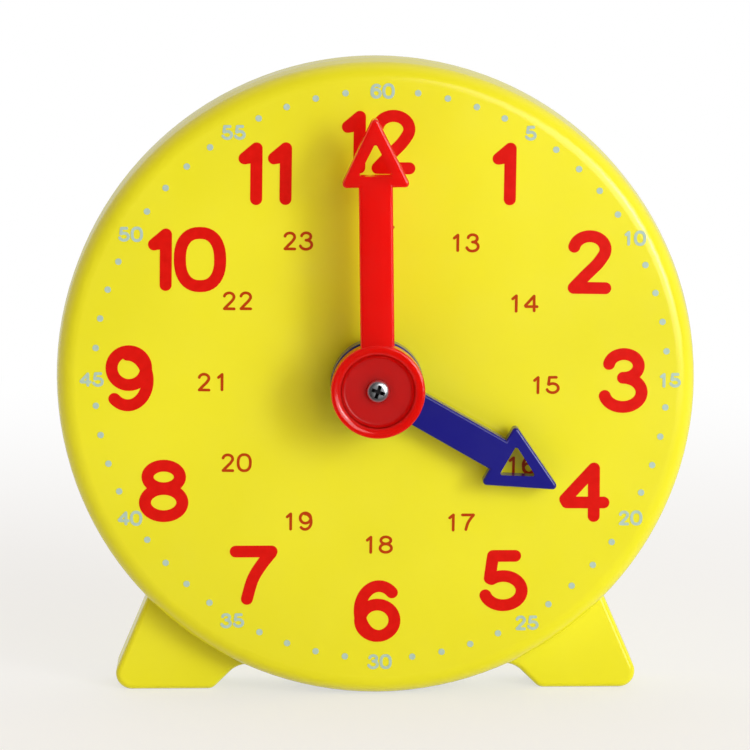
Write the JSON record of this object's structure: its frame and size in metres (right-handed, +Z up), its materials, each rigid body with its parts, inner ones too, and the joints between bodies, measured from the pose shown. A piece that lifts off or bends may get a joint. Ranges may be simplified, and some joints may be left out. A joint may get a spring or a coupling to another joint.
{
  "type": "geared teaching clock",
  "caption": "Round student clock on two feet, with a numbered dial, two arrow-shaped hands and a hidden gear train that turns the hour hand as the minute hand is set",
  "frame": {"origin": "on the table, under the middle of the clock's width and depth: the bottom centre of its bounding box with the hands at rest", "axes": "+Z up, the dial faces -Y, +X is to the right as the reader sees the dial (towards the 3), +Y is the shallow direction from the dial to the back"},
  "size_m": [0.1, 0.0292, 0.1],
  "materials": {
    "case_plastic": "glossy yellow ABS",
    "minute_hand_plastic": "glossy red ABS",
    "hour_hand_plastic": "glossy dark blue ABS",
    "gear_plastic": "natural white acetal",
    "steel": "bright zinc-plated steel"
  },
  "bodies": {
    "case": {"dial_shell": "case_plastic", "rear_housing": "case_plastic", "gear_bridge": "steel", "gear_stud": "steel", "bridge_screws": "steel", "housing_screws": "steel", "hour_washer": "gear_plastic", "friction_spring": "steel"},
    "minute": {"minute_hand": "minute_hand_plastic", "hand_screw": "steel", "minute_arbor": "steel", "minute_pinion": "gear_plastic"},
    "hour": {"hour_hand": "hour_hand_plastic", "hour_wheel": "gear_plastic"},
    "middle": {"middle_gear": "gear_plastic"}
  },
  "joints": [
    {"name": "minute_turn", "type": "hinge", "parent": "case", "child": "minute", "pos_m": [0, 0, 0.05], "axis": [0, 1, 0], "continuous": true},
    {"name": "hour_turn", "type": "hinge", "parent": "case", "child": "hour", "pos_m": [0, 0, 0.05], "axis": [0, 1, 0], "continuous": true},
    {"name": "middle_turn", "type": "hinge", "parent": "case", "child": "middle", "pos_m": [0, 0, 0.029], "axis": [0, 1, 0], "continuous": true}
  ],
  "couplings": [
    {"joint": "hour_turn", "follows": "minute_turn", "ratio": 0.083333},
    {"joint": "middle_turn", "follows": "minute_turn", "ratio": -0.33333}
  ]
}
